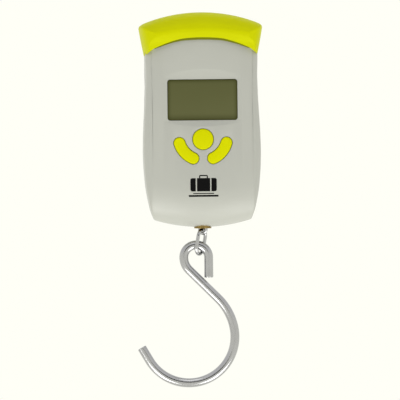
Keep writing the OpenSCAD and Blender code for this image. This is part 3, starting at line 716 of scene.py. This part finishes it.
def build_hook():
    E, ER, ND = (-3.46, -115.62), 6.2, 9.0
    nc = (E[0] - ER + ND, E[1])
    c45 = math.cos(math.radians(45))
    p1 = (nc[0] - ND * c45, nc[1] - ND * c45)
    p2 = (p1[0] + 20.2 * c45, p1[1] - 20.2 * c45)
    R1, A1, R2, A2 = 28.4, 34.0, 23.0, 160.5
    c1 = (p2[0] - R1 * c45, p2[1] - R1 * c45)
    d = math.radians(45 - A1)
    c2 = (c1[0] + (R1 - R2) * math.cos(d), c1[1] + (R1 - R2) * math.sin(d))
    te = 45 - A1 - A2
    tr = math.radians(te)
    p4 = (c2[0] + R2 * math.cos(tr), c2[1] + R2 * math.sin(tr))
    P, D = [], []
    def add(p, t):
        for a, b in zip(p, t):
            if P and math.dist(P[-1], a) < 0.05:
                continue
            P.append(a)
            D.append(b)
    x0 = E[0] + ER
    n = 26
    add([(x0, 0, -125.8 + (E[1] + 125.8) * i / n) for i in range(n + 1)], [(0, 0, 1)] * (n + 1))
    add(*arc_pts(E, ER, 0, 180))
    add(*arc_pts(nc, ND, 180, 225))
    n = 50
    add([(p1[0] + (p2[0] - p1[0]) * i / n, 0, p1[1] + (p2[1] - p1[1]) * i / n) for i in range(n + 1)], [(c45, 0, -c45)] * (n + 1))
    add(*arc_pts(c1, R1, 45, 45 - A1))
    add(*arc_pts(c2, R2, 45 - A1, te))
    n = 22
    tl = 7.6
    add([(p4[0] + math.sin(tr) * tl * i / n, 0, p4[1] - math.cos(tr) * tl * i / n) for i in range(n + 1)], [(math.sin(tr), 0, -math.cos(tr))] * (n + 1))
    return tube(P, D, 2.25, (0, 1, 0), n=64, ends=0.4, name="hook_v")

def build_link(name, r, c, length, place):
    P, D = [], []
    n = 28
    for i in range(n):
        P.append((c, 0, -length + c + (length - 2 * c) * i / n)); D.append((0, 0, 1))
    p, t = arc_pts((0, -c), c, 0, 180, 0.16)
    P += p[:-1]; D += t[:-1]
    for i in range(n):
        P.append((-c, 0, -c - (length - 2 * c) * i / n)); D.append((0, 0, -1))
    p, t = arc_pts((0, -length + c), c, 180, 360, 0.16)
    P += p[:-1]; D += t[:-1]
    P = [place @ Vector(q) for q in P]
    R = place.to_3x3()
    D = [tuple(R @ Vector(q)) for q in D]
    return tube([tuple(q) for q in P], D, r, tuple(R @ Vector((0, 1, 0))), n=36, closed=True, name=name)

def build_links():
    up = Matrix.Translation((0, 0, -91.4 + 1.65)) @ Matrix.Rotation(math.radians(-45), 4, "Z")
    a = build_link("upper_link_v", 0.8, 2.2, -89.75 + 103.7, up)
    lt, lb = (0.0, -101.82), (-2.1, -114.0)
    ll = math.dist(lt, lb)
    lean = math.asin((lt[0] - lb[0]) / ll)
    lo = Matrix.Translation((lt[0], 0, lt[1])) @ Matrix.Rotation(lean, 4, "Y") @ Matrix.Rotation(math.radians(60), 4, "Z")
    return a, build_link("lower_link_v", 0.9, 3.8, ll, lo)

def revolve(profile, name, n=96, sharp=35):
    b = Builder()
    ids = [b.ring([(r * math.cos(T * k / n), r * math.sin(T * k / n), z) for k in range(n)]) for r, z in profile]
    for i in range(len(ids)):
        b.band(ids[i], ids[(i + 1) % len(ids)])
    return b.obj(name, sharp)

def build_eyelet():
    z = -BOTTOM
    prof = [(3.5, z + 4.2), (3.5, z - 0.35)]
    for a in np.linspace(0, 90, 7):
        prof.append((3.85 - 0.35 * math.cos(math.radians(a)), z - 0.35 - 0.35 * math.sin(math.radians(a))))
    prof += [(4.05, z - 0.7)]
    for a in np.linspace(90, -40, 9):
        prof.append((4.08 + 0.32 * math.cos(math.radians(a)), z - 0.38 - 0.32 * math.sin(math.radians(a))))
    prof += [(4.3, z + 0.02), (3.9, z + 0.02), (3.9, z + 4.2)]
    return revolve(prof, "hook_eyelet_v")

# ---------------------------------------------------------------- materials
def material(name):
    m = bpy.data.materials.new(name)
    m.use_nodes = True
    nt = m.node_tree
    bs = nt.nodes["Principled BSDF"]
    return m, nt, bs

def node(nt, kind, **kw):
    n = nt.nodes.new(kind)
    for k, v in kw.items():
        if k in n.inputs:
            n.inputs[k].default_value = v
        else:
            setattr(n, k, v)
    return n

def coords(nt):
    return nt.nodes.new("ShaderNodeTexCoord").outputs["Object"]

def noise(nt, co, scale, detail=3.0, rough=0.55):
    n = nt.nodes.new("ShaderNodeTexNoise")
    n.inputs["Scale"].default_value = scale
    n.inputs["Detail"].default_value = detail
    n.inputs["Roughness"].default_value = rough
    nt.links.new(co, n.inputs["Vector"])
    return n.outputs["Fac"]

def ramp(nt, fac, stops):
    r = nt.nodes.new("ShaderNodeValToRGB")
    el = r.color_ramp.elements
    while len(el) < len(stops):
        el.new(0.5)
    for e, (p, c) in zip(el, stops):
        e.position = p
        e.color = (c[0], c[1], c[2], 1) if isinstance(c, tuple) else (c, c, c, 1)
    nt.links.new(fac, r.inputs["Fac"])
    return r.outputs["Color"]

def bump(nt, bs, height, strength, dist):
    b = nt.nodes.new("ShaderNodeBump")
    b.inputs["Strength"].default_value = strength
    b.inputs["Distance"].default_value = dist
    nt.links.new(height, b.inputs["Height"])
    nt.links.new(b.outputs["Normal"], bs.inputs["Normal"])
    return b

def plastic(name, col, var=0.03, rough=(0.4, 0.5), grain=5200, bump_s=0.12, coat=0.0, spec=0.5):
    m, nt, bs = material(name)
    co = coords(nt)
    big = noise(nt, co, 60, 4)
    c0 = tuple(max(0.0, c * (1 - var)) for c in col)
    c1 = tuple(c * (1 + var) for c in col)
    nt.links.new(ramp(nt, big, [(0.3, c0), (0.7, c1)]), bs.inputs["Base Color"])
    fine = noise(nt, co, grain, 2)
    mid = noise(nt, co, 350, 3)
    nt.links.new(ramp(nt, mid, [(0.3, rough[0]), (0.7, rough[1])]), bs.inputs["Roughness"])
    bump(nt, bs, fine, bump_s, 0.00003)
    bs.inputs["Specular IOR Level"].default_value = spec
    bs.inputs["Coat Weight"].default_value = coat
    return m

def metal(name, col, rough=(0.18, 0.3), grain=900, bump_s=0.05, stretch=None):
    m, nt, bs = material(name)
    co = coords(nt)
    if stretch:
        mp = nt.nodes.new("ShaderNodeMapping")
        mp.inputs["Scale"].default_value = stretch
        nt.links.new(co, mp.inputs["Vector"])
        co = mp.outputs["Vector"]
    big = noise(nt, co, 120, 4)
    nt.links.new(ramp(nt, big, [(0.3, tuple(c * 0.94 for c in col)), (0.7, tuple(min(1, c * 1.04) for c in col))]), bs.inputs["Base Color"])
    nt.links.new(ramp(nt, noise(nt, co, grain, 4), [(0.3, rough[0]), (0.7, rough[1])]), bs.inputs["Roughness"])
    bump(nt, bs, noise(nt, co, grain * 1.7, 3), bump_s, 0.00002)
    bs.inputs["Metallic"].default_value = 1.0
    return m

M = {}
M["grey"] = plastic("casing_grey_m", (0.408, 0.412, 0.374), 0.012, (0.34, 0.42), 5200, 0.10)
M["lime"] = plastic("cap_lime_m", (0.537, 0.558, 0.0), 0.02, (0.42, 0.52), 6500, 0.12, spec=0.04)
M["key"] = plastic("key_lime_m", (0.574, 0.586, 0.0), 0.02, (0.36, 0.46), 6500, 0.08, spec=0.04)
M["steel"] = metal("wire_steel_m", (0.44, 0.44, 0.445), (0.17, 0.20), 260, 0.0005)
M["brass"] = metal("brass_m", (0.30, 0.21, 0.07), (0.18, 0.3), 900, 0.05)
M["screw"] = metal("screw_m", (0.42, 0.42, 0.43), (0.28, 0.4), 700, 0.08)
M["alu"] = metal("cell_m", (0.76, 0.77, 0.78), (0.3, 0.42), 600, 0.1, (1, 1, 14))
M["contact"] = metal("contact_m", (0.6, 0.6, 0.58), (0.25, 0.35), 800, 0.05)
M["white"] = plastic("white_m", (0.75, 0.75, 0.72), 0.02, (0.45, 0.55))
M["pcb"] = plastic("pcb_m", (0.02, 0.13, 0.04), 0.12, (0.3, 0.45), 1500, 0.1)
M["chip"] = plastic("chip_m", (0.02, 0.02, 0.021), 0.1, (0.5, 0.6))
M["gauge"] = plastic("gauge_m", (0.55, 0.28, 0.06), 0.1, (0.3, 0.4))
M["cell"] = plastic("battery_m", (0.04, 0.10, 0.32), 0.05, (0.2, 0.3), 2000, 0.02)
M["lead"] = plastic("lead_m", (0.5, 0.03, 0.03), 0.1, (0.4, 0.5))
# painted shade: dark olive for the strip that stands in for the shade under the cap's lip
M["seal"] = plastic("seal_m", (0.15, 0.16, 0.0), 0.04, (0.5, 0.6), 6000, 0.1, spec=0.1)
M["mark"] = plastic("mark_m", (0.004, 0.004, 0.004), 0.1, (0.55, 0.65), 4000, 0.05, spec=0.05)

def window_edge_shade_material():
    # tinted window: olive, with painted shade that darkens it towards its edges, where the recess walls shade it
    m, nt, bs = material("window_edge_shade_m")
    co = coords(nt)
    sep = nt.nodes.new("ShaderNodeSeparateXYZ")
    nt.links.new(co, sep.inputs[0])
    def mth(op, a, b=None, c=None):
        n = nt.nodes.new("ShaderNodeMath")
        n.operation = op
        for i, v in enumerate((a, b, c)):
            if v is None:
                continue
            if isinstance(v, (int, float)):
                n.inputs[i].default_value = v
            else:
                nt.links.new(v, n.inputs[i])
        return n.outputs[0]
    ax = mth("ABSOLUTE", sep.outputs["X"])
    ex = mth("SUBTRACT", WIN_W / 2 * MM, ax)                       # distance to the side edge
    et = mth("SUBTRACT", (WIN_Z + WIN_H / 2) * MM, sep.outputs["Z"])
    eb = mth("SUBTRACT", sep.outputs["Z"], (WIN_Z - WIN_H / 2) * MM)
    def soft(e, w):
        q = mth("DIVIDE", e, w * MM)
        n = nt.nodes.new("ShaderNodeClamp")
        nt.links.new(q, n.inputs[0])
        s = n.outputs[0]
        return mth("SUBTRACT", 1.0, mth("POWER", mth("SUBTRACT", 1.0, s), 2.0))
    # painted shade: fac falls towards the window's edges and darkens its colour there
    fac = mth("MULTIPLY", mth("MULTIPLY", soft(ex, 2.6), soft(et, 2.6)), soft(eb, 4.2))
    nz = noise(nt, co, 90, 3)
    fac = mth("ADD", fac, mth("MULTIPLY", mth("SUBTRACT", nz, 0.5), 0.04))
    # painted shade: the darker olive at fac 0 is the colour of the shaded edge
    col = ramp(nt, fac, [(0.0, (0.034, 0.036, 0.006)), (1.0, (0.096, 0.099, 0.038))])
    nt.links.new(col, bs.inputs["Base Color"])
    nt.links.new(ramp(nt, noise(nt, co, 500, 3), [(0.3, 0.30), (0.7, 0.36)]), bs.inputs["Roughness"])
    bs.inputs["Specular IOR Level"].default_value = 0.12
    bs.inputs["Coat Weight"].default_value = 0.0
    bump(nt, bs, noise(nt, co, 1200, 2), 0.01, 0.00001)
    return m
M["window"] = window_edge_shade_material()

def paint(ob, m):
    ob.data.materials.clear()
    ob.data.materials.append(m)
    for p in ob.data.polygons:
        p.material_index = 0

# ---------------------------------------------------------------- build
def put(ob, mat, body, *nodes, slot=None):
    paint(ob, mat)
    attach(ob, body)
    if nodes:
        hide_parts(*nodes)

put(build_front(), M["grey"], "casing", "front_shell", slot="casing_grey")
put(build_back(), M["grey"], "casing", "rear_shell", slot="casing_grey")
put(build_door(), M["grey"], "battery_door_body", "battery_door", slot="casing_grey")
cap, seal = build_cap()
put(cap, M["lime"], "casing", "grip_cap", slot="cap_lime")
# the strip under the cap's lip is painted shade
put(seal, M["seal"], "casing", slot="cap_lime")
put(build_mark(), M["mark"], "casing", slot="casing_grey")
for nm, ob in build_keys().items():
    put(ob, M["key"], nm + "_body", nm, slot="key_lime")
put(build_lens(), M["window"], "casing", "window_lens", slot="lens")
# the LCD panel takes the same painted edge shade
put(build_lcd(), M["window"], "casing", "lcd_panel", slot="lcd")
put(build_eyelet(), M["brass"], "casing", "hook_eyelet", slot="brass")
ul, ll_ = build_links()
put(ul, M["steel"], "upper_link_body", "upper_link", slot="steel_wire")
put(ll_, M["steel"], "lower_link_body", "lower_link", slot="steel_wire")
put(build_hook(), M["steel"], "hook_body", "hook", slot="steel_wire")

KEEP = {"display_frame": "white", "main_pcb": "pcb", "pcb_chips": "chip", "tact_switches": "chip", "plunger_center": "chip",
        "plunger_left": "chip", "plunger_right": "chip", "load_cell": "alu", "strain_gauges": "gauge", "load_cell_screws": "screw",
        "load_eye": "steel", "battery_upper": "cell", "battery_lower": "cell", "battery_springs": "contact", "battery_plates": "contact",
        "case_screws": "screw", "pcb_screws": "screw", "cap_screws": "screw", "gauge_leads": "lead", "battery_leads": "lead"}
for n, mt in KEEP.items():
    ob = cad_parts[n]
    for s in ob.material_slots:
        s.material = M[mt]

# ---------------------------------------------------------------- stage, light, camera
CREAM = (1.0, 1.0, 0.925)
SKY = 0.892
def stage_material(name, col, emit):
    m = bpy.data.materials.new(name)
    m.use_nodes = True
    bs = m.node_tree.nodes["Principled BSDF"]
    bs.inputs["Base Color"].default_value = (*col, 1)
    bs.inputs["Roughness"].default_value = 1.0
    bs.inputs["Specular IOR Level"].default_value = 0.0
    bs.inputs["Emission Color"].default_value = (*CREAM, 1)
    bs.inputs["Emission Strength"].default_value = emit
    return m

def stage_disc(name, z, r, mat):
    n = 96
    b = Builder()
    rings = [b.ring([(q * math.cos(T * i / n), q * math.sin(T * i / n), z) for i in range(n)]) for q in (10, 300, 1500, r)]
    for p, q in zip(rings, rings[1:]):
        b.band(p, q)
    b.f.append(tuple(rings[0]))
    o = b.obj(name, 60)
    paint(o, mat)
    return o
stage_disc("floor", -900, 16000, stage_material("floor_m", (0.02, 0.02, 0.02), 1.0))

# dark card above and behind the camera, higher than any background the views show
b = Builder()
pl = b.ring([(-1500, -3900, 300), (1500, -3900, 300), (1500, -3900, 1900), (-1500, -3900, 1900)])
b.f.append(tuple(pl))
card = b.obj("studio_card", 60)
paint(card, stage_material("card_m", (0.03, 0.03, 0.03), 0.0))

sc = bpy.context.scene
w = sc.world or bpy.data.worlds.new("w")
sc.world = w
w.use_nodes = True
wt = w.node_tree
bg = wt.nodes.get("Background") or wt.nodes.new("ShaderNodeBackground")
tc = wt.nodes.new("ShaderNodeTexCoord")
sx = wt.nodes.new("ShaderNodeSeparateXYZ")
wt.links.new(tc.outputs["Generated"], sx.inputs[0])
mr = wt.nodes.new("ShaderNodeMapRange")
mr.interpolation_type = "SMOOTHSTEP"
mr.inputs["From Min"].default_value = 0.12
mr.inputs["From Max"].default_value = 0.50
wt.links.new(sx.outputs["Z"], mr.inputs["Value"])
mx = wt.nodes.new("ShaderNodeMix")
mx.data_type = "RGBA"
mx.inputs["A"].default_value = (*CREAM, 1)
mx.inputs["B"].default_value = (SKY, SKY, SKY, 1)
wt.links.new(mr.outputs["Result"], mx.inputs["Factor"])
wt.links.new(mx.outputs["Result"], bg.inputs["Color"])
bg.inputs["Strength"].default_value = 1.0

def area(name, loc, target, size, power, sy=None, col=(1, 1, 0.99)):
    l = bpy.data.lights.new(name, "AREA")
    l.shape = "RECTANGLE"
    l.size = size
    l.size_y = sy or size
    l.energy = power
    l.color = col
    o = bpy.data.objects.new(name, l)
    o.location = Vector(loc) * MM
    d = (Vector(target) - Vector(loc)).normalized()
    o.rotation_euler = d.to_track_quat("-Z", "Y").to_euler()
    sc.collection.objects.link(o)
    return o

C = (0, 0, -80)
LIGHTS = {
    "steep_left": ((-260, -300, -520), 0.30, 1.192),
    "steep_right": ((260, -300, -520), 0.30, 0.984),
    "top": ((0, -260, 520), 0.35, 0.37),
}
for nm, (loc, size, power) in LIGHTS.items():
    area(nm, loc, C, size, power)

cam_d = bpy.data.cameras.new("cam")
cam = bpy.data.objects.new("cam", cam_d)
sc.collection.objects.link(cam)
sc.camera = cam
DIST = 3000.0
YAW, TILT = math.radians(-2.7), math.radians(0.65)
# the picture's middle, in the casing's frame, at the depth of the parting plane
dx, dy = 200.0 - 200.5, 200.0 - 26.0
CXM = (dx * math.cos(TILT) - dy * math.sin(TILT)) / 2
CZM = -(dy * math.cos(TILT) + dx * math.sin(TILT)) / 2
tgt = Vector((CXM, 0, CZM)) * MM
dirv = Vector((math.sin(YAW), -math.cos(YAW), 0))
cam.location = tgt + dirv * DIST * MM
q = (-dirv).to_track_quat("-Z", "Y")
cam.rotation_mode = "QUATERNION"
cam.rotation_quaternion = q @ Matrix.Rotation(-TILT, 3, "Z").to_quaternion()
cam_d.sensor_width = 36.0
cam_d.lens = 36.0 * DIST / 200.0
cam_d.clip_end = 60.0
cam_d.clip_start = 0.01

sc.view_settings.view_transform = "Standard"
sc.view_settings.look = "None"
sc.view_settings.exposure = 0.0
sc.view_settings.gamma = 1.0
